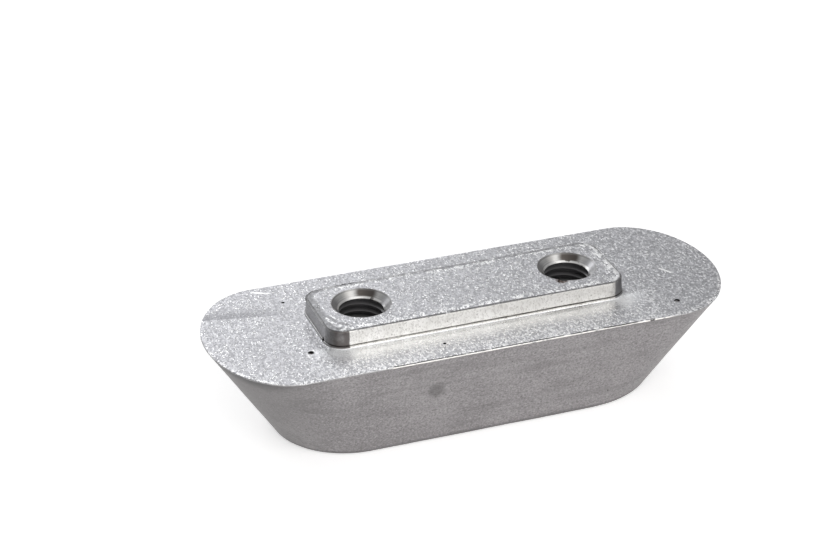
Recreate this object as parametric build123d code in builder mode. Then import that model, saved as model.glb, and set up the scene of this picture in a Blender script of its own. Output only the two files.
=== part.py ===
"""Sacrificial anode: one solid zinc casting with two tapped holes in a raised seating pad.

The block is shaped like a shallow boat. Its wide face carries the pad that is bolted against
the hull, and it tapers to a smaller flat face with rounded ends. It lies here on that smaller
face, with the pad up. X runs along the block, Y across it and Z up, in millimetres, and the
origin is the centre of the face that it lies on.
"""

import os
from math import radians, tan

from build123d import *

# the tapered block
wide_length = 123.0
wide_width = 45.0
wide_end_depth = 17.0  # how far each half-ellipse end reaches beyond the straight sides
narrow_length = 91.6
narrow_width = 32.8
narrow_end_depth = 17.6
block_height = 24.7
wide_edge_bevel = 0.4
narrow_edge_radius = 1.2

# the raised seating pad, with the low foot that the mould leaves round it
pad_length = 71.0
pad_width = 20.9
pad_height = 4.4
pad_corner_radius = 4.5
pad_draft_angle = 4.0
pad_edge_radius = 0.35
foot_margin = 0.8
foot_height = 0.35

# the two blind holes, drilled, countersunk and then tapped M12
hole_spacing = 50.0
tap_drill_diameter = 10.2
hole_depth = 18.0  # at full diameter, measured from the face of the pad
drill_point_angle = 118.0
countersink_diameter = 13.5
countersink_angle = 90.0

pad_face = block_height + pad_height
bore_radius = tap_drill_diameter / 2
drill_point = bore_radius / tan(radians(drill_point_angle / 2))


with BuildPart() as anode_block:
    # the body is ruled straight from the narrow outline up to the wide one, and over the small
    # bevel of the wide face's edge; each outline is two straight sides and half-ellipse ends
    for height, length, width, end_depth in (
        (0, narrow_length, narrow_width, narrow_end_depth),
        (block_height - wide_edge_bevel, wide_length, wide_width, wide_end_depth),
        (
            block_height,
            wide_length - 2 * wide_edge_bevel,
            wide_width - 2 * wide_edge_bevel,
            wide_end_depth - wide_edge_bevel,
        ),
    ):
        straight = length / 2 - end_depth
        with BuildSketch(Plane.XY.offset(height)):
            with BuildLine():
                Line((-straight, -width / 2), (straight, -width / 2))
                EllipticalCenterArc((straight, 0), end_depth, width / 2, -90, arc_size=180)
                Line((straight, width / 2), (-straight, width / 2))
                EllipticalCenterArc((-straight, 0), end_depth, width / 2, 90, arc_size=180)
            make_face()
    loft(ruled=True)
    fillet(anode_block.faces().sort_by(Axis.Z)[0].edges(), narrow_edge_radius)

    # the low foot, and the pad that rises from it with moulding draft and a softened rim
    with BuildSketch(Plane.XY.offset(block_height)):
        RectangleRounded(
            pad_length + 2 * foot_margin,
            pad_width + 2 * foot_margin,
            pad_corner_radius + foot_margin,
        )
    extrude(amount=foot_height)
    with BuildSketch(Plane.XY.offset(pad_face)):
        RectangleRounded(pad_length, pad_width, pad_corner_radius)
    extrude(amount=-pad_height, taper=-pad_draft_angle)
    fillet(anode_block.faces().sort_by(Axis.Z)[-1].edges(), pad_edge_radius)

    # the holes, each with the cone that the drill's point leaves at its bottom
    with Locations((0, 0, pad_face)):
        with GridLocations(hole_spacing, 0, 2, 1):
            CounterSinkHole(bore_radius, countersink_diameter / 2, hole_depth, countersink_angle)
    with Locations((0, 0, pad_face - hole_depth)):
        with GridLocations(hole_spacing, 0, 2, 1):
            Cone(
                0,
                bore_radius,
                drill_point,
                align=(Align.CENTER, Align.CENTER, Align.MAX),
                mode=Mode.SUBTRACT,
            )

anode_block.part.label = "anode_block"
os.makedirs("parts", exist_ok=True)
export_step(anode_block.part, "parts/anode_block.step")
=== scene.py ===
import math

import bmesh
import bpy
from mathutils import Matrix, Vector, noise as unevenness


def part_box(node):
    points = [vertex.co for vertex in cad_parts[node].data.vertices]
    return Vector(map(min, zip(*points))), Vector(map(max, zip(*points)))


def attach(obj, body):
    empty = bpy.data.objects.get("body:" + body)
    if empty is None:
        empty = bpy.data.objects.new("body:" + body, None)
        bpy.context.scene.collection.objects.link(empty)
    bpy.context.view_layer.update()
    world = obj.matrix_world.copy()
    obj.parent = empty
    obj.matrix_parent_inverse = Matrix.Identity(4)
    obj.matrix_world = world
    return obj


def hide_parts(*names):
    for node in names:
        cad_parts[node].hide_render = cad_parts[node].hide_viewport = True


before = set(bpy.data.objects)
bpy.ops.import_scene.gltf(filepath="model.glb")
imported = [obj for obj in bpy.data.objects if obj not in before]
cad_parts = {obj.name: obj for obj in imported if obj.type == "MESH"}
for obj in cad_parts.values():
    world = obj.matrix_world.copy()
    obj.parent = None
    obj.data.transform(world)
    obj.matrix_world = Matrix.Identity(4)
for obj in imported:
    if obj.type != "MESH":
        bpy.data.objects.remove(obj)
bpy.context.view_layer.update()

# ---------------------------------------------------------------------------------------------
# The block: one pour of zinc, cast narrow face down in a tapered mould, so the wide face and the
# pad on it are the rough, bright top of the pour and the sides are the smoother skin that lay
# against the mould. Its outlines are straight sides that run into half-ellipse ends.
# ---------------------------------------------------------------------------------------------
block_low, block_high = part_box("anode_block")
wide_length = block_high.x - block_low.x
wide_width = block_high.y - block_low.y
wide_reach = 0.017
narrow_length = 0.0916
narrow_width = 0.0328
narrow_reach = 0.0176
far_reach = 0.0205
far_cut = 0.0009
narrow_edge_round = 0.0008
pad_face = block_high.z
pad_height = 0.0044
pad_length = 0.0716
pad_width = 0.0212
pad_corner = 0.0042
pad_x = -0.0003
pad_y = -0.0005
pad_skew = 0.006
pad_draft = 0.0002
pad_rim_round = 0.0005
foot_margin = 0.0004
foot_height = 0.0006
edge_bevel = 0.0005
lip_drop = 0.00042
lip_step = 0.0001
same_place = 1e-6
flash_root = 0.0003
flash_start = -0.0260
flash_end = 0.0335
front_lip = -0.0215
groove_depth = 0.00024
flash_rise = 0.0003
flash_lean = 0.00015
shoulder_start = -0.0305
shoulder_ease = 0.001
shoulder_width = 0.0018
shoulder_depth = 0.0004
shoulder_drop = 0.0003
wide_face = pad_face - pad_height
crease_height = wide_face + foot_height
ring_points = 256

bpy.ops.object.select_all(action="DESELECT")
bpy.ops.mesh.primitive_circle_add(
    vertices=ring_points, radius=wide_width / 2, fill_type="NGON", rotation=(0, 0, math.pi / ring_points)
)
casting = bpy.context.object
casting.name = "anode_casting"
bpy.ops.object.transform_apply(location=False, rotation=True, scale=False)
bpy.ops.object.mode_set(mode="EDIT")
bpy.ops.mesh.select_all(action="SELECT")
ring = bmesh.from_edit_mesh(casting.data)
turn = ring.verts.layers.float.new("turn")
for point in ring.verts:
    point[turn] = math.atan2(point.co.y, point.co.x)
bmesh.update_edit_mesh(casting.data)


def shape_ring(length, width, reach_x, reach_y, height):
    """Lay the selected ring on an outline whose four corners are quarter ellipses."""
    mesh = bmesh.from_edit_mesh(casting.data)
    turn = mesh.verts.layers.float["turn"]
    for point in mesh.verts:
        if point.select:
            along = math.cos(point[turn])
            across = math.sin(point[turn])
            point.co = (
                math.copysign(length / 2 - reach_x, along) + reach_x * along,
                math.copysign(width / 2 - reach_y, across) + reach_y * across,
                height,
            )
    bmesh.update_edit_mesh(casting.data)


def shape_rim(inset, height):
    """Lay the selected ring on the wide outline, drawn in by an inset."""
    shape_ring(
        wide_length - 2 * inset,
        wide_width - 2 * inset,
        wide_reach - inset,
        wide_width / 2 - inset,
        height,
    )


def shape_pad(margin, height):
    """Lay the selected ring on the outline of the pad's face, let out by a margin."""
    shape_ring(
        pad_length + 2 * margin,
        pad_width + 2 * margin,
        pad_corner + margin,
        pad_corner + margin,
        height,
    )
    mesh = bmesh.from_edit_mesh(casting.data)
    for point in mesh.verts:
        if point.select:
            point.co.y += pad_y + pad_skew * point.co.x
            point.co.x += pad_x
    bmesh.update_edit_mesh(casting.data)


shape_ring(narrow_length, narrow_width, narrow_reach, narrow_width / 2, 0)
# the far end of the narrow face is a little shorter and rounder than the near one
ring = bmesh.from_edit_mesh(casting.data)
for point in ring.verts:
    if point.co.x > 0:
        toward_tip = max(math.cos(point[ring.verts.layers.float["turn"]]), 0)
        point.co.x += (narrow_reach - far_reach) * (1 - toward_tip) - far_cut
bmesh.update_edit_mesh(casting.data)
for shape, size, level in (
    (shape_rim, 0, wide_face - lip_drop),
    (shape_rim, 0.00012, wide_face - lip_step),
    (shape_rim, flash_root, wide_face - lip_step),
    (shape_rim, edge_bevel, wide_face),
    (shape_rim, edge_bevel + 0.0003, wide_face),
    (shape_pad, foot_margin + 0.0004, wide_face),
    (shape_pad, foot_margin, wide_face + 0.0001),
    (shape_pad, foot_margin - 0.0001, crease_height - 0.0001),
    (shape_pad, pad_draft - 0.0002, crease_height),
    (shape_pad, pad_draft, crease_height + 0.00015),
    (shape_pad, 0, pad_face),
):
    bpy.ops.mesh.extrude_region_move(TRANSFORM_OT_translate={"value": (0, 0, 0.001)})
    shape(size, level)
bpy.ops.mesh.select_all(action="SELECT")
bpy.ops.mesh.normals_make_consistent(inside=False)


def bevel_rim(height, width, segments):
    """Round the edges that lie at a height."""
    mesh = bmesh.from_edit_mesh(casting.data)
    bpy.ops.mesh.select_all(action="DESELECT")
    for edge in mesh.edges:
        edge.select_set(all(abs(end.co.z - height) < same_place for end in edge.verts))
    mesh.select_flush_mode()
    bmesh.update_edit_mesh(casting.data)
    bpy.ops.mesh.bevel(offset=width, segments=segments, affect="EDGES", clamp_overlap=False)


bpy.ops.mesh.select_mode(type="EDGE")
bevel_rim(0, narrow_edge_round, 5)
bevel_rim(pad_face, pad_rim_round, 4)
bpy.ops.object.mode_set(mode="OBJECT")
# the skin is cut into a fine even mesh, so that the unevenness of the pour can move it
skin_spacing = 0.0008
bpy.ops.object.mode_set(mode="EDIT")
for axis in (2, 1, 0):
    normal = [0, 0, 0]
    normal[axis] = 1
    cuts = round((block_high[axis] - block_low[axis]) / skin_spacing)
    for cut in range(1, cuts):
        place = [0, 0, 0]
        place[axis] = block_low[axis] + cut * (block_high[axis] - block_low[axis]) / cuts
        bpy.ops.mesh.select_all(action="SELECT")
        bpy.ops.mesh.bisect(plane_co=place, plane_no=normal, threshold=1e-7)
bpy.ops.object.mode_set(mode="OBJECT")

# a thin flash of metal ran over the front lip of the mould: its root is a groove in the bevel
# and its edge stands a little proud of the wide face
for point in casting.data.vertices:
    if point.co.y > front_lip or not flash_start < point.co.x < flash_end:
        continue
    depth = point.co.z - wide_face
    wander = 0.6 + unevenness.noise((point.co.x * 330, 0, 0))
    if abs(depth + lip_step) < same_place and abs(point.co.y + wide_width / 2 - flash_root) < same_place:
        point.co.z -= groove_depth * wander
    elif abs(depth) < same_place and abs(point.co.y + wide_width / 2 - edge_bevel) < same_place:
        point.co.z += flash_rise * wander
        point.co.y += flash_lean * wander

# the pad's left end set with a slack, rounded shoulder
for point in casting.data.vertices:
    over_x = max(abs(point.co.x - pad_x) - pad_length / 2 + pad_corner, 0)
    over_y = max(abs(point.co.y - pad_y - pad_skew * point.co.x) - pad_width / 2 + pad_corner, 0)
    inside = pad_corner - math.hypot(over_x, over_y)
    on_shoulder = point.co.z > pad_face - shoulder_depth and point.co.x < shoulder_start
    if on_shoulder and inside < shoulder_width:
        slope = (1 - max(inside, 0) / shoulder_width) ** 2
        point.co.z -= shoulder_drop * slope * min(shoulder_start - point.co.x, shoulder_ease) / shoulder_ease

# the pour's lumps and the grain of its open top press the skin inwards, never outwards
bpy.ops.mesh.customdata_custom_splitnormals_clear()
rough = casting.vertex_groups.new(name="rough_top")
rough.add([p.index for p in casting.data.vertices if p.co.z > wide_face - 0.00005], 1.0, "REPLACE")
for name, scale, depth, group in (
    ("lumps", 0.011, 0.00014, ""),
    ("ripples", 0.0032, 0.00006, "rough_top"),
    ("grain", 0.0012, 0.00008, "rough_top"),
):
    pattern = bpy.data.textures.new(name, "CLOUDS")
    pattern.noise_scale = scale
    pattern.noise_depth = 2
    press = casting.modifiers.new(name, "DISPLACE")
    press.texture = pattern
    press.texture_coords = "LOCAL"
    press.mid_level = 1.0
    press.strength = depth
    press.vertex_group = group
    bpy.ops.object.modifier_apply(modifier=name)

# ---------------------------------------------------------------------------------------------
# The holes: each is drilled blind, countersunk and tapped M12, and the bright cut thread runs
# out into the countersink.
# ---------------------------------------------------------------------------------------------
hole_spacing = 0.050
bore_radius = 0.0051
hole_depth = 0.018
drill_angle = 118
drill_point = bore_radius / math.tan(math.radians(drill_angle / 2))
sink_radius = 0.0069
sink_depth = sink_radius - bore_radius
thread_radius = 0.006
thread_pitch = 0.00175
thread_root = thread_pitch / 8
thread_depth = 0.016
thread_angle = 60
thread_foot = thread_pitch * 1.01
cut_clearance = 0.0003
# the place of each pit, its radius, and how far it is drawn out along the block
pits = (
    (-0.0402, -0.0101, wide_face - 0.0002, 0.00048, 1.0),
    (-0.0391, 0.0138, wide_face - 0.0001, 0.00026, 1.2),
    (0.0454, -0.0163, wide_face - 0.0002, 0.00046, 1.2),
    (-0.0113, -0.0164, wide_face - 0.0001, 0.00024, 1.1),
    (0.0364, -0.0224, wide_face - 0.0001, 0.0004, 1.6),
    (-0.0363, -0.0065, wide_face + 0.0007, 0.00036, 1.0),
    (0.0213, -0.0060, pad_face - 0.0001, 0.0007, 1.8),
)


def cut_away(tool):
    """Take a tool's shape out of the casting."""
    cut = casting.modifiers.new("cut", "BOOLEAN")
    cut.operation = "DIFFERENCE"
    cut.solver = "MANIFOLD"
    cut.object = tool
    bpy.ops.object.select_all(action="DESELECT")
    bpy.context.view_layer.objects.active = casting
    bpy.ops.object.modifier_apply(modifier="cut")
    bpy.data.objects.remove(tool)


def select_end(tool, height):
    """Select the flat end of a tool that lies at a height."""
    mesh = bmesh.from_edit_mesh(tool.data)
    bpy.ops.mesh.select_all(action="DESELECT")
    for face in mesh.faces:
        face.select_set(all(abs(point.co.z - height) < same_place for point in face.verts))
    bmesh.update_edit_mesh(tool.data)


for hole_x in (-hole_spacing / 2, hole_spacing / 2):
    # the drill and the countersink, turned as one tool
    bpy.ops.object.select_all(action="DESELECT")
    bpy.ops.mesh.primitive_cylinder_add(
        vertices=96,
        radius=bore_radius,
        depth=hole_depth - sink_depth,
        location=(hole_x, 0, pad_face - (hole_depth + sink_depth) / 2),
    )
    drill = bpy.context.object
    bpy.ops.object.transform_apply(location=True)
    bpy.ops.object.mode_set(mode="EDIT")
    bpy.ops.mesh.select_mode(type="FACE")
    select_end(drill, pad_face - hole_depth)
    bpy.ops.mesh.extrude_region_move(TRANSFORM_OT_translate={"value": (0, 0, -drill_point)})
    bpy.ops.mesh.merge(type="CENTER")
    select_end(drill, pad_face - sink_depth)
    bpy.ops.mesh.extrude_region_move(
        TRANSFORM_OT_translate={"value": (0, 0, sink_depth + cut_clearance)}
    )
    flare = (sink_radius + cut_clearance) / bore_radius
    bpy.ops.transform.resize(value=(flare, flare, 1), center_override=(hole_x, 0, 0))
    bpy.ops.mesh.select_all(action="SELECT")
    bpy.ops.mesh.normals_make_consistent(inside=False)
    bpy.ops.object.mode_set(mode="OBJECT")
    cut_away(drill)

    # the tap: one tooth's outline, screwed up the hole and trimmed flat at both ends
    bpy.ops.object.select_all(action="DESELECT")
    bpy.ops.mesh.primitive_plane_add(size=0.001, location=(0, 0, 0))
    tap = bpy.context.object
    bpy.ops.object.mode_set(mode="EDIT")
    bpy.ops.mesh.select_mode(type="VERT")
    bpy.ops.mesh.select_all(action="SELECT")
    bpy.ops.mesh.merge(type="CENTER")
    tooth_depth = thread_radius - bore_radius + cut_clearance
    flank = tooth_depth * math.tan(math.radians(thread_angle / 2))
    valley = thread_pitch - thread_root - 2 * flank
    bpy.ops.transform.translate(value=(thread_radius - tooth_depth, 0, 0))
    for outward, upward in (
        (tooth_depth, flank),
        (0, thread_root),
        (-tooth_depth, flank),
        (0, valley),
    ):
        bpy.ops.mesh.extrude_region_move(TRANSFORM_OT_translate={"value": (outward, 0, upward)})
    bpy.ops.object.mode_set(mode="OBJECT")
    turns = tap.modifiers.new("turns", "SCREW")
    turns.steps = 72
    turns.render_steps = 72
    turns.screw_offset = thread_pitch
    turns.iterations = math.ceil(thread_depth / thread_pitch) + 2
    bpy.ops.object.modifier_apply(modifier="turns")
    bpy.ops.object.mode_set(mode="EDIT")
    bpy.ops.mesh.select_all(action="SELECT")
    bpy.ops.mesh.remove_doubles(threshold=same_place)
    for trim, side in ((thread_foot, -1), (thread_foot + thread_depth, 1)):
        bpy.ops.mesh.select_all(action="SELECT")
        bpy.ops.mesh.bisect(
            plane_co=(0, 0, trim), plane_no=(0, 0, side), use_fill=True, clear_outer=True, threshold=1e-7
        )
    bpy.ops.mesh.select_all(action="SELECT")
    bpy.ops.mesh.normals_make_consistent(inside=False)
    bpy.ops.transform.translate(
        value=(hole_x, 0, pad_face - sink_depth - thread_foot - thread_depth)
    )
    bpy.ops.object.mode_set(mode="OBJECT")
    cut_away(tap)

# gas pits in the open top, a nick in its front edge, a burst pit at the foot of the pad, and the
# chip in the far hole's rim
for number, (pit_x, pit_y, pit_z, radius, stretch) in enumerate(pits):
    bpy.ops.object.select_all(action="DESELECT")
    bpy.ops.mesh.primitive_ico_sphere_add(subdivisions=2, radius=radius, location=(pit_x, pit_y, pit_z))
    pit = bpy.context.object
    bpy.ops.transform.resize(value=(stretch, 1.5, 1.4))
    bpy.ops.object.transform_apply(location=True)
    bpy.ops.object.mode_set(mode="EDIT")
    bpy.ops.mesh.select_all(action="SELECT")
    bpy.ops.transform.vertex_random(offset=radius * 0.3, seed=number)
    bpy.ops.object.mode_set(mode="OBJECT")
    cut_away(pit)

bpy.ops.object.select_all(action="DESELECT")
casting.select_set(True)
bpy.context.view_layer.objects.active = casting
bpy.ops.object.shade_smooth_by_angle(angle=math.radians(32))
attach(casting, "root")
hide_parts("anode_block")

# ---------------------------------------------------------------------------------------------
# The zinc: cast metal, rough and full of bright flecks where the pour set in the open, a warmer
# and smoother skin where it lay against the mould, and bright cut metal in the holes.
# ---------------------------------------------------------------------------------------------
zinc = bpy.data.materials.new("cast_zinc")
zinc.use_nodes = True


class Signal:
    """What one node of a shader gives out, with the arithmetic that the finishes use."""

    tree = zinc.node_tree

    def __init__(self, output):
        self.output = output

    @classmethod
    def node(cls, kind, settings, inputs, output=0):
        """Add a node: its settings, then a value or a signal for each of its sockets."""
        made = cls.tree.nodes.new(kind)
        for name, value in settings.items():
            setattr(made, name, value)
        for name, value in inputs.items():
            if isinstance(value, cls):
                cls.tree.links.new(value.output, made.inputs[name])
            else:
                made.inputs[name].default_value = value
        return cls(made.outputs[output])

    def other(self, output):
        """Another output of the same node."""
        return Signal(self.output.node.outputs[output])

    def maths(self, operation, left, right):
        return Signal.node("ShaderNodeMath", {"operation": operation}, {0: left, 1: right})

    def __add__(self, other):
        return self.maths("ADD", self, other)

    def __radd__(self, other):
        return self.maths("ADD", other, self)

    def __sub__(self, other):
        return self.maths("SUBTRACT", self, other)

    def __rsub__(self, other):
        return self.maths("SUBTRACT", other, self)

    def __mul__(self, other):
        return self.maths("MULTIPLY", self, other)

    def __rmul__(self, other):
        return self.maths("MULTIPLY", other, self)

    def __pow__(self, other):
        return self.maths("POWER", self, other)

    def __abs__(self):
        return (self**2) ** 0.5

    def least(self, other):
        return self.maths("MINIMUM", self, other)

    def most(self, other):
        return self.maths("MAXIMUM", self, other)

    def rise(self, start, stop):
        """0 before start, 1 after stop, and smooth between them."""
        return Signal.node(
            "ShaderNodeMapRange",
            {"interpolation_type": "SMOOTHSTEP"},
            {"Value": self, "From Min": start, "From Max": stop},
        )

    def between(self, start, full, fade, stop):
        """1 from full to fade, and smooth down to 0 at start and at stop."""
        return self.rise(start, full) * (1 - self.rise(fade, stop))


def blend(amount, under, over):
    """One colour over another, by an amount from 0 to 1."""
    return Signal.node("ShaderNodeMix", {"data_type": "RGBA"}, {0: amount, 6: under, 7: over}, 2)


def noise(scale, detail, stretch=(1, 1, 1), roughness=0.5):
    """Cloudy unevenness, with the given number of lumps to a metre."""
    place = Signal.node("ShaderNodeMapping", {}, {"Vector": everywhere, "Scale": stretch})
    return Signal.node(
        "ShaderNodeTexNoise", {}, {"Vector": place, "Scale": scale, "Detail": detail, "Roughness": roughness}
    )


def spot(x, y, z, radius, edge):
    """1 within a radius of a point, 0 past its soft edge."""
    away = Signal.node(
        "ShaderNodeVectorMath", {"operation": "DISTANCE"}, {0: everywhere, 1: (x, y, z)}, "Value"
    )
    return 1 - away.rise(radius, radius + edge)


everywhere = Signal.node("ShaderNodeTexCoord", {}, {}, "Object")
along = Signal.node("ShaderNodeSeparateXYZ", {}, {"Vector": everywhere})
across = along.other("Y")
height = along.other("Z")


def from_axis(hole_x):
    """How far a point lies from the axis of a hole."""
    return ((along - hole_x) ** 2 + across**2) ** 0.5


def beside(start, end):
    """How far a point lies along a line on the wide face and to the back of it."""
    run = Vector(end) - Vector(start)
    length = run.length
    run.normalize()
    ahead = (along - start[0]) * run.x + (across - start[1]) * run.y
    behind = (along - start[0]) * -run.y + (across - start[1]) * run.x
    return ahead, behind, length


def scratch(start, end, width):
    """1 on a straight thin line, 0 off it."""
    ahead, behind, length = beside(start, end)
    return (1 - abs(behind).rise(width / 2, width)) * ahead.between(0, width, length - width, length)


bright_zinc = (0.99, 0.99, 0.99, 1)
wear_and_glint_zinc = (0.98, 0.98, 0.98, 1)
shade_black = (0.03, 0.03, 0.03, 1)

# where each kind of surface lies
hole_reach = from_axis(-hole_spacing / 2).least(from_axis(hole_spacing / 2))
machined = (1 - hole_reach.rise(sink_radius - 0.0001, sink_radius)) * height.rise(0.008, 0.0085)
open_top = height.rise(wide_face - 0.00052, wide_face - 0.00044)
pad_wall = height.between(
    wide_face + 0.00008, wide_face + 0.00014, pad_face - 0.0004, pad_face - 0.0003
)
past_end = (abs(along - pad_x) - (pad_length / 2 - pad_corner)).most(0)
past_long_side = (abs(across - pad_y - pad_skew * along) - (pad_width / 2 - pad_corner)).most(0)
past_pad = (past_end**2 + past_long_side**2) ** 0.5 - pad_corner
crease = height.between(
    crease_height - 0.00018, crease_height - 0.00006, crease_height + 0.00006, crease_height + 0.00018
)
rough_top = open_top * (1 - pad_wall) * (1 - machined)

# the open top: a fine bluish grain, thick with facets that catch the light
facet_place = Signal.node("ShaderNodeMapping", {}, {"Vector": everywhere, "Scale": (1, 0.62, 1)})
facet_cells = Signal.node("ShaderNodeTexVoronoi", {}, {"Vector": facet_place, "Scale": 2900}, "Color")
facet = Signal.node("ShaderNodeSeparateXYZ", {}, {"Vector": facet_cells})
facet_edge = facet_cells.other("Distance")
flecks = facet.rise(0.68, 0.8) * (1 - facet_edge.rise(0.42, 0.75)) * noise(900, 2).rise(0.37, 0.54)
flecks = flecks * (1 - 0.45 * along.rise(0.030, 0.045))
grain = noise(2300, 3, (1, 0.8, 1), 0.7)
mottle = noise(330, 4)

crystals = (0.7 * grain + 0.3 * facet).rise(0.34, 0.66)
top_colour = blend(crystals, (0.35, 0.35, 0.366, 1), (0.645, 0.645, 0.668, 1))
top_colour = blend(mottle.rise(0.35, 0.75) * 0.2, top_colour, (0.5, 0.5, 0.525, 1))
top_colour = blend(flecks, top_colour, bright_zinc)
# light painted on: a bright strip in front of the pad, as if its wall shone on the wide face, and
# a softer patch at each of its ends
in_front = (1 - across.rise(-0.0105, -0.0085)) * (1 - height.rise(wide_face, crease_height))
in_front = in_front * (1 - (along**2).rise(0.037**2, 0.045**2))
top_colour = blend(in_front * 0.15, top_colour, (0.75, 0.75, 0.78, 1))
bright_cells = facet.rise(0.4, 0.6) * (1 - facet_edge.rise(0.45, 0.75))
top_colour = blend(in_front * bright_cells * 0.5, top_colour, bright_zinc)
wall_glow = (1 - past_pad.rise(0.0006, 0.0070)) * in_front
top_colour = blend(wall_glow * (0.75 + 0.25 * grain.rise(0.4, 0.55)), top_colour, (0.975, 0.985, 1, 1))
# below the pad's front corners the metal is made less metallic, which paints more light there
by_corners = spot(-0.0338, -0.0126, wide_face, 0.0012, 0.003).most(
    spot(0.0340, -0.0124, wide_face, 0.001, 0.003)
)
corner_glow = by_corners * in_front * 0.75
mirrored = wall_glow * (1 - (along**2).rise(0.029**2, 0.034**2))
top_roughness = 0.4 - 0.14 * flecks - 0.12 * mirrored

# the pad's rim: rubbed bright on top, with painted shade at its very edge, along its back and
# over the rounder left end
on_rim = height.rise(pad_face - 0.0008, pad_face - 0.0007)
rubbed = on_rim * past_pad.between(-0.0030, -0.0014, -0.0007, -0.0005)
left_end = 1 - along.rise(-0.0325, -0.0300)
rubbed = rubbed * facet.rise(0.3, 0.5) * noise(450, 2).rise(0.42, 0.54) * (1 - 0.6 * left_end)
top_colour = blend(rubbed, top_colour, bright_zinc)
shoulder_shade = on_rim * left_end * past_pad.rise(-0.0024, -0.0014) * noise(900, 3).rise(0.2, 0.5)
top_colour = blend(shoulder_shade * 0.85, top_colour, (0.2, 0.2, 0.206, 1))
left_edge = on_rim * left_end * past_pad.rise(-0.0007, -0.0004)
top_colour = blend(left_edge * 0.8, top_colour, (0.12, 0.12, 0.124, 1))
back_rim = on_rim * across.rise(0.004, 0.008) * past_pad.rise(-0.0015, -0.0012)
back_rim = back_rim * noise(350, 2).rise(0.3, 0.45)
top_colour = blend(back_rim * 0.6, top_colour, (0.2, 0.2, 0.205, 1))
rim_edge = on_rim * past_pad.rise(-0.0006, -0.0005) * (1 - left_end) * noise(500, 2).rise(0.3, 0.42)
top_colour = blend(rim_edge * 0.7, top_colour, (0.17, 0.165, 0.162, 1))

# a cold shut, where a later tongue of metal met a skin that had set; the shade of its low step,
# which the mesh lacks, is painted on as a dark band
ahead, behind, _ = beside((-0.0585, 0.0119), (-0.0371, 0.0075))
cold_shut_shade = behind.between(-0.0003, 0.0002, 0.0006, 0.0052) * (1 - ahead.rise(0.009, 0.024))
top_colour = blend(cold_shut_shade * 0.62, top_colour, (0.25, 0.25, 0.265, 1))
scratches = scratch((-0.0447, 0.0210), (-0.0408, 0.0189), 0.00045).most(
    scratch((0.0481, -0.0005), (0.0501, -0.0037), 0.0004)
)
top_colour = blend(scratches, top_colour, wear_and_glint_zinc)
# wrinkles in the rim: painted shade as dark lines, painted highlight as bright lines beside them
wrinkle_shade = scratch((-0.0343, -0.0026), (-0.0330, -0.0068), 0.0006).most(
    scratch((-0.0331, -0.0066), (-0.0308, -0.0088), 0.0006)
)
top_colour = blend(wrinkle_shade * on_rim * 0.75, top_colour, (0.26, 0.26, 0.268, 1))
fold_highlight = scratch((-0.0349, -0.0034), (-0.0337, -0.0074), 0.0005).most(
    scratch((-0.0335, -0.0078), (-0.0312, -0.0097), 0.0007)
)
fold_highlight = fold_highlight.most(spot(-0.0327, -0.0100, pad_face - 0.0003, 0.0005, 0.0007))
top_colour = blend(fold_highlight * on_rim * noise(1500, 2).rise(0.42, 0.56) * 0.8, top_colour, wear_and_glint_zinc)
right_rim = on_rim * along.rise(0.031, 0.033) * past_pad.between(-0.0016, -0.0012, -0.0006, -0.0004)
top_colour = blend(right_rim * noise(700, 2).rise(0.4, 0.5) * 0.8, top_colour, wear_and_glint_zinc)
# flecks crowd along the rim of the wide face
past_side = (abs(along) - (wide_length / 2 - wide_reach)).most(0) * (1 / wide_reach)
near_rim = (past_side**2 + (across * (2 / wide_width)) ** 2).rise(0.88, 0.93)
rim_flecks = near_rim * (1 - across.rise(-0.001, 0.004)) * facet.rise(0.35, 0.55)
rim_flecks = rim_flecks * noise(300, 2).rise(0.40, 0.54)
top_colour = blend(rim_flecks * 0.8, top_colour, bright_zinc)
# the flash and its groove, and past them the lip that stands out under the wide face's edge;
# a highlight is painted along the flash's ledge and crest, and shade in its groove
front_edge = (1 - across.rise(-0.0220, -0.0219)) * along.rise(flash_start, flash_start + 0.001)
on_lip = front_edge * (1 - along.rise(flash_end - 0.001, flash_end))
below_lip = 1 - height.rise(wide_face - 0.00026, wide_face - 0.0002)
top_colour = blend(below_lip * 0.8, top_colour, (0.34, 0.335, 0.34, 1))
ledge = front_edge * below_lip * (1 - across.rise(-0.0223, -0.0222)) * noise(400, 2).rise(0.32, 0.44)
ledge = ledge * (1 - along.rise(0.040, 0.043))
top_colour = blend(ledge * 0.9, top_colour, (0.97, 0.95, 0.91, 1))
crest = on_lip * across.between(-0.0220, -0.0219, -0.0214, -0.0208)
top_colour = blend(crest * facet.rise(0.25, 0.45), top_colour, bright_zinc)
groove = on_lip * across.between(-0.02238, -0.02233, -0.0221, -0.0220)
groove = groove * noise(350, 2).rise(0.28, 0.4)
top_colour = blend(groove * 0.95, top_colour, (0.04, 0.038, 0.035, 1))
# shade is painted black inside the pits, but not in the nick in the front edge
pit_shade = [
    spot(pit_x, pit_y, pit_z - 0.0001, min(1.4 * radius, 0.00077), 0.0001)
    for pit_x, pit_y, pit_z, radius, _ in pits
]
all_pit_shade = pit_shade[0]
for one_pit_shade in pit_shade[1:]:
    all_pit_shade = all_pit_shade.most(one_pit_shade)
top_colour = blend(all_pit_shade * across.rise(-0.0216, -0.0212), top_colour, shade_black)

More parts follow.
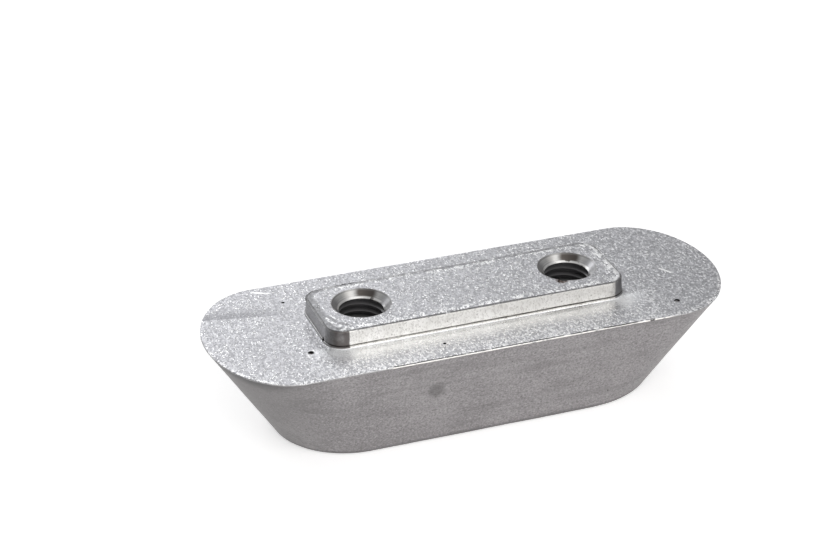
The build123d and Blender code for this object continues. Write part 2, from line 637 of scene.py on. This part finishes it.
# the mould's skin: a warm satin grey with faint drag streaks and a few dark specks, and shade
# painted on towards both ends, under the lip at the left and along the bottom edge
speckle = noise(2600, 4, (0.8, 1, 1), 0.7)
streaks = noise(420, 3, (0.12, 1, 1))
side_colour = blend(noise(90, 4).rise(0.3, 0.7), (0.33, 0.316, 0.321, 1), (0.38, 0.365, 0.37, 1))
side_colour = blend((1 - speckle.rise(0.32, 0.5)) * 0.75, side_colour, (0.18, 0.171, 0.174, 1))
side_colour = blend(speckle.rise(0.5, 0.66) * 0.8, side_colour, (0.5, 0.482, 0.488, 1))
side_colour = blend(streaks.rise(0.45, 0.7) * 0.3, side_colour, (0.21, 0.203, 0.202, 1))
# painted shade towards both ends
end_shade = (1 - along.rise(-0.058, -0.034)) * 0.65 + along.rise(0.046, 0.060) * 0.25
side_colour = blend(end_shade, side_colour, (0.2, 0.194, 0.193, 1))
lip_shade = (1 - along.rise(-0.0555, -0.044)) * height.rise(wide_face - 0.0036, wide_face - 0.0006)
side_colour = blend(lip_shade * 0.65, side_colour, (0.1, 0.1, 0.1, 1))
smudge = spot(-0.0146, -0.0201, 0.0152, 0.0008, 0.0022) * (0.4 + 0.6 * noise(900, 3))
side_colour = blend(smudge * 0.75, side_colour, (0.12, 0.115, 0.115, 1))
side_colour = blend((1 - height.rise(0.0006, 0.0016)) * 0.5, side_colour, (0.12, 0.115, 0.115, 1))
specks = noise(1500, 1).rise(0.74, 0.78) * noise(60, 1).rise(0.45, 0.6)
side_colour = blend(specks * 0.7, side_colour, (0.1, 0.095, 0.09, 1))
side_roughness = 0.5 + 0.1 * speckle

# the pad's walls: bright in front, with shade painted on to the right, at the ends, in the crease
# and at the near left corner
wall_grain = noise(2400, 3, (1, 1, 0.7), 0.65)
wall_colour = blend(noise(420, 4).rise(0.35, 0.7), (0.82, 0.81, 0.78, 1), (0.93, 0.92, 0.895, 1))
wall_colour = blend(along.rise(-0.03, 0.03) * 0.5, wall_colour, (0.55, 0.54, 0.52, 1))
wall_colour = blend(wall_grain.rise(0.48, 0.62) * 0.4, wall_colour, (0.38, 0.36, 0.335, 1))
wall_colour = blend(noise(1300, 2).rise(0.64, 0.72) * 0.6, wall_colour, (0.25, 0.235, 0.22, 1))
end_colour = blend(wall_grain.rise(0.35, 0.65), (0.38, 0.375, 0.38, 1), (0.52, 0.52, 0.525, 1))
ragged = along + 0.0004 * noise(900, 2)
near_end = 1 - ragged.rise(-0.0316, -0.0313)
end_colour = blend(along.rise(-0.01, 0.01), end_colour, (0.27, 0.266, 0.272, 1))
wall_colour = blend(near_end + ragged.rise(0.0325, 0.0328), wall_colour, end_colour)
slack_rim = near_end * height.rise(pad_face - 0.0007, pad_face - 0.0005)
wall_colour = blend(slack_rim * 0.5, wall_colour, (0.15, 0.148, 0.15, 1))
crease_depth = (0.35 + 0.6 * noise(900, 2) + 0.6 * across.rise(-0.0112, -0.0095)).least(1)
wall_colour = blend(crease * crease_depth, wall_colour, (0.11, 0.105, 0.1, 1))
# painted shade at the near left corner
corner_shade = near_end * (1 - across.rise(-0.0106, -0.0082)) * (0.75 + 0.25 * noise(500, 3).rise(0.35, 0.6))
wall_colour = blend(corner_shade * 0.95, wall_colour, (0.135, 0.122, 0.118, 1))
# and the painted shade in the pits, the burst pit at the foot of the pad among them
wall_colour = blend(all_pit_shade, wall_colour, shade_black)

# the cut metal: fine rings from the countersink, with painted reflections of shade and light as dark
# and light marks, and a rusty chip on the far hole's rim
rings = Signal.node(
    "ShaderNodeTexNoise", {"noise_dimensions": "1D"}, {"W": hole_reach, "Scale": 6000, "Detail": 1}
)
cut_colour = blend(rings.rise(0.35, 0.65), (0.6, 0.595, 0.59, 1), (0.74, 0.735, 0.73, 1))
for hole_x in (-hole_spacing / 2, hole_spacing / 2):
    for mark_x, mark_y, radius, edge, amount, shade in (
        (-0.0060, 0.0008, 0.0024, 0.0026, 0.75, (0.27, 0.265, 0.28, 1)),
        (0.0030, 0.0054, 0.0016, 0.0016, 0.95, (0.09, 0.076, 0.068, 1)),
        (-0.0012, 0.0057, 0.0006, 0.0012, 0.6, (0.95, 0.93, 0.9, 1)),
        (0.0058, -0.0016, 0.0030, 0.0020, 0.85, (0.42, 0.42, 0.434, 1)),
    ):
        mark = spot(hole_x + mark_x, mark_y, pad_face - 0.0007, radius, edge)
        cut_colour = blend(mark * amount, cut_colour, shade)
# shade painted dark down the bore
in_bore = 1 - height.rise(pad_face - sink_depth - 0.0003, pad_face - sink_depth)
cut_colour = blend(in_bore, cut_colour, (0.27, 0.267, 0.275, 1))
sink_edge = hole_reach.rise(sink_radius - 0.0005, sink_radius - 0.0003)
cut_colour = blend(sink_edge * 0.5, cut_colour, (0.3, 0.295, 0.29, 1))
# a painted highlight round the mouth of the bore, standing in for a thin bright burr
burr_highlight = hole_reach.between(bore_radius - 0.0002, bore_radius, bore_radius + 0.0002, bore_radius + 0.0005)
burr_highlight = burr_highlight * (1 - in_bore) * across.rise(-0.003, 0.001) * noise(700, 2).rise(0.4, 0.5)
cut_colour = blend(burr_highlight * 0.9, cut_colour, (0.98, 0.975, 0.96, 1))

colour = blend(open_top, side_colour, top_colour)
colour = blend(pad_wall, colour, wall_colour)
colour = blend(machined, colour, cut_colour)
chip = spot(0.0213, -0.0058, pad_face - 0.0004, 0.0010, 0.0008) * noise(1100, 3).rise(0.36, 0.5)
colour = blend(chip * 0.85, colour, (0.13, 0.085, 0.065, 1))
finish = side_roughness * (1 - open_top) + top_roughness * open_top
finish = finish * (1 - pad_wall) + 0.42 * pad_wall
finish = finish * (1 - machined) + (0.28 + 0.15 * in_bore) * machined

relief = rough_top * (0.6 * grain + 0.3 * mottle + 0.7 * flecks) * (1 - 0.8 * mirrored) + (
    (1 - rough_top) * 0.12 * speckle
)
bump = Signal.node("ShaderNodeBump", {}, {"Strength": 1.0, "Distance": 0.00012, "Height": relief})
shader = zinc.node_tree.nodes["Principled BSDF"]
for name, signal in (
    ("Base Color", colour),
    ("Metallic", 1 - corner_glow),
    ("Roughness", finish),
    ("Normal", bump),
):
    zinc.node_tree.links.new(signal.output, shader.inputs[name])
casting.data.materials.clear()
casting.data.materials.append(zinc)

# ---------------------------------------------------------------------------------------------
# The studio: a pale table in a dim room, a large soft light in front of the block and a smaller
# one behind it, and the camera.
# ---------------------------------------------------------------------------------------------
bpy.ops.mesh.primitive_plane_add(size=4, location=(0, 0, 0))
table = bpy.context.object
table.name = "table"
paper = bpy.data.materials.new("paper")
paper.use_nodes = True
paper_shader = paper.node_tree.nodes["Principled BSDF"]
paper_shader.inputs["Base Color"].default_value = (0.9, 0.9, 0.9, 1)
paper_shader.inputs["Roughness"].default_value = 0.9
paper_shader.inputs["Emission Color"].default_value = (1, 1, 1, 1)
# the table looks lighter to the eye and in the metal, and lights the block no more for it
Signal.tree = paper.node_tree
to_eye = Signal.node("ShaderNodeLightPath", {}, {}, "Is Camera Ray")
lift = (to_eye * 1.4).most(to_eye.other("Is Glossy Ray")) * 0.34
Signal.tree.links.new(lift.output, paper_shader.inputs["Emission Strength"])
table.data.materials.append(paper)

world = bpy.data.worlds.new("studio")
world.use_nodes = True
background = world.node_tree.nodes["Background"]
background.inputs["Color"].default_value = (1, 1, 1, 1)
# the room is dim to the left and right of the block, which gives its corners their dark edges
Signal.tree = world.node_tree
direction = Signal.node("ShaderNodeTexCoord", {}, {}, "Generated")
sideways = abs(Signal.node("ShaderNodeSeparateXYZ", {}, {"Vector": direction}))
room = Signal.node(
    "ShaderNodeMapRange",
    {"interpolation_type": "SMOOTHSTEP"},
    {"Value": sideways, "From Min": 0.45, "From Max": 0.9, "To Min": 0.48, "To Max": 0.3},
)
room = Signal.node("ShaderNodeLightPath", {}, {}, "Is Camera Ray").most(room)
Signal.tree.links.new(room.output, background.inputs["Strength"])
bpy.context.scene.world = world


def toward(azimuth, elevation):
    """The way out from the block; azimuth 0 is in front, and right of it is more."""
    return Vector(
        (
            math.sin(azimuth) * math.cos(elevation),
            -math.cos(azimuth) * math.cos(elevation),
            math.sin(elevation),
        )
    )


def soft_box(name, azimuth, elevation, distance, width, height, power, colour):
    """Hang a soft light that looks at the block."""
    outward = toward(math.radians(azimuth), math.radians(elevation))
    bpy.ops.object.light_add(type="AREA", location=distance * outward)
    box = bpy.context.object
    box.name = name
    box.rotation_euler = outward.to_track_quat("Z", "Y").to_euler()
    box.data.shape = "RECTANGLE"
    box.data.size = width
    box.data.size_y = height
    box.data.energy = power
    box.data.color = colour


soft_box(
    "front_box",
    azimuth=0,
    elevation=31,
    distance=1.2,
    width=1.9,
    height=1.3,
    power=10.2,
    colour=(1, 0.988, 0.972),
)
soft_box(
    "back_box",
    azimuth=187,
    elevation=33,
    distance=1.3,
    width=1.2,
    height=0.8,
    power=4.5,
    colour=(0.97, 0.98, 1),
)

camera_distance = 0.54887
aim_right = 0.021454 * camera_distance
aim_up = -0.012337 * camera_distance
back = toward(math.radians(-20.31), math.radians(28.04))
right = Vector((0, 0, 1)).cross(back).normalized()
up = back.cross(right)
aim = Vector((0, 0, wide_face)) - aim_right * right - aim_up * up
bpy.ops.object.camera_add(location=aim + camera_distance * back)
camera = bpy.context.object
camera.rotation_euler = back.to_track_quat("Z", "Y").to_euler()
camera.data.lens = 105
camera.data.clip_start = 0.01
bpy.context.scene.camera = camera
bpy.context.scene.view_settings.view_transform = "Standard"
